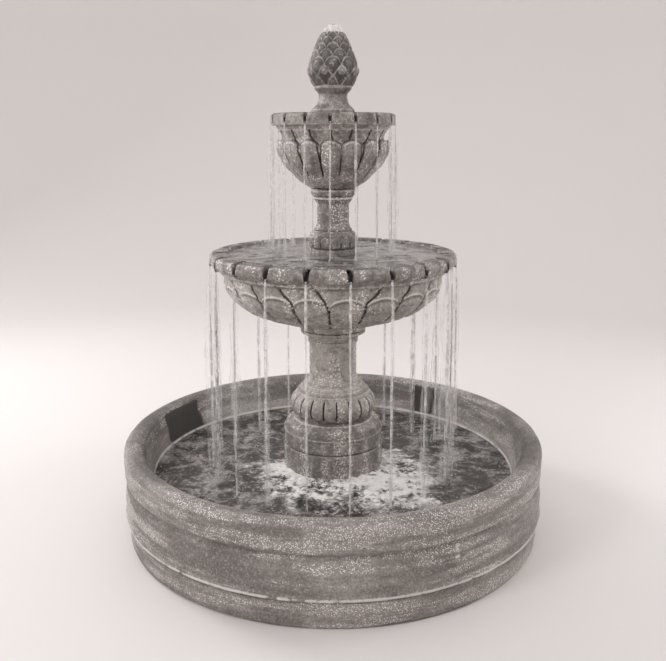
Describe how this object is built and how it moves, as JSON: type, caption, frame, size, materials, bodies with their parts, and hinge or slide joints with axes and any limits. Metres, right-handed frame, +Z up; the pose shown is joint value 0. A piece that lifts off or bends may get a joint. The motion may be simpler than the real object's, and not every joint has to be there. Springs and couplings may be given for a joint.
{
  "type": "tiered water fountain",
  "caption": "Free-standing tiered garden fountain: round pool, moulded pedestal, wide and small notched bowls, scaled finial, with submersible pump and riser pipe inside.",
  "frame": {"origin": "centre of the pool's underside, on the ground", "axes": "+Z up along the fountain's axis; -Y towards the front"},
  "size_m": [1.23, 1.23, 1.4053],
  "materials": {
    "cast_stone": "weathered cast stone, wet",
    "pool_stone": "weathered cast stone with lime specks",
    "black_rubber": "matt rubber",
    "plug_rubber": "matt rubber",
    "shim_plastic": "matt plastic",
    "riser_pipe": "dull drawn metal",
    "hose_vinyl": "flexible vinyl",
    "pump_plastic": "moulded plastic",
    "rotor_plastic": "moulded plastic",
    "dial_plastic": "moulded plastic",
    "pin_ceramic": "ground ceramic",
    "filter_foam": "open-cell foam",
    "clamp_steel": "stainless",
    "drain_brass": "tarnished brass",
    "water": "clear running water"
  },
  "bodies": {
    "fountain": {"pool_basin": "pool_stone", "plinth": "cast_stone", "pedestal": "cast_stone", "lower_bowl": "cast_stone", "upper_pedestal": "cast_stone", "upper_bowl": "cast_stone", "plinth_pads": "black_rubber", "lower_stopper": "black_rubber", "upper_stopper": "black_rubber", "suction_cups": "black_rubber", "pump_o_ring": "black_rubber", "drain_washer": "black_rubber", "cord_bung": "black_rubber", "pedestal_shims": "shim_plastic", "lower_bowl_shims": "shim_plastic", "upper_pedestal_shims": "shim_plastic", "upper_bowl_shims": "shim_plastic", "lower_pipe": "riser_pipe", "upper_pipe": "riser_pipe", "lower_hose": "hose_vinyl", "upper_hose": "hose_vinyl", "outlet_barb": "pump_plastic", "hose_clamp_bands": "clamp_steel", "hose_clamp_screws": "clamp_steel", "pump_housing": "pump_plastic", "pump_volute": "pump_plastic", "volute_screws": "clamp_steel", "rotor_pin": "pin_ceramic", "front_bush": "black_rubber", "rear_bush": "black_rubber", "cord_gland": "pump_plastic", "drain_collar": "drain_brass", "drain_nut": "drain_brass"},
    "finial": {"finial": "cast_stone"},
    "impeller": {"impeller": "rotor_plastic"},
    "strainer": {"intake_strainer": "pump_plastic", "filter_foam": "filter_foam"},
    "flow_dial": {"flow_dial": "dial_plastic"},
    "drain_plug": {"drain_plug": "plug_rubber"}
  },
  "joints": [
    {"name": "impeller_spin", "type": "hinge", "parent": "fountain", "child": "impeller", "pos_m": [0, 0, 0.093], "axis": [0, 1, 0], "continuous": true},
    {"name": "strainer_pull", "type": "slide", "parent": "fountain", "child": "strainer", "axis": [0, -1, 0], "range_m": [0, 0.045]},
    {"name": "flow_dial_turn", "type": "hinge", "parent": "strainer", "child": "flow_dial", "pos_m": [0, -0.046, 0.093], "axis": [0, 1, 0], "range_deg": [0, 90]},
    {"name": "drain_plug_lift", "type": "slide", "parent": "fountain", "child": "drain_plug", "axis": [0, 0, 1], "range_m": [0, 0.25]},
    {"name": "finial_lift", "type": "slide", "parent": "fountain", "child": "finial", "axis": [0, 0, 1], "range_m": [0, 0.36]}
  ]
}
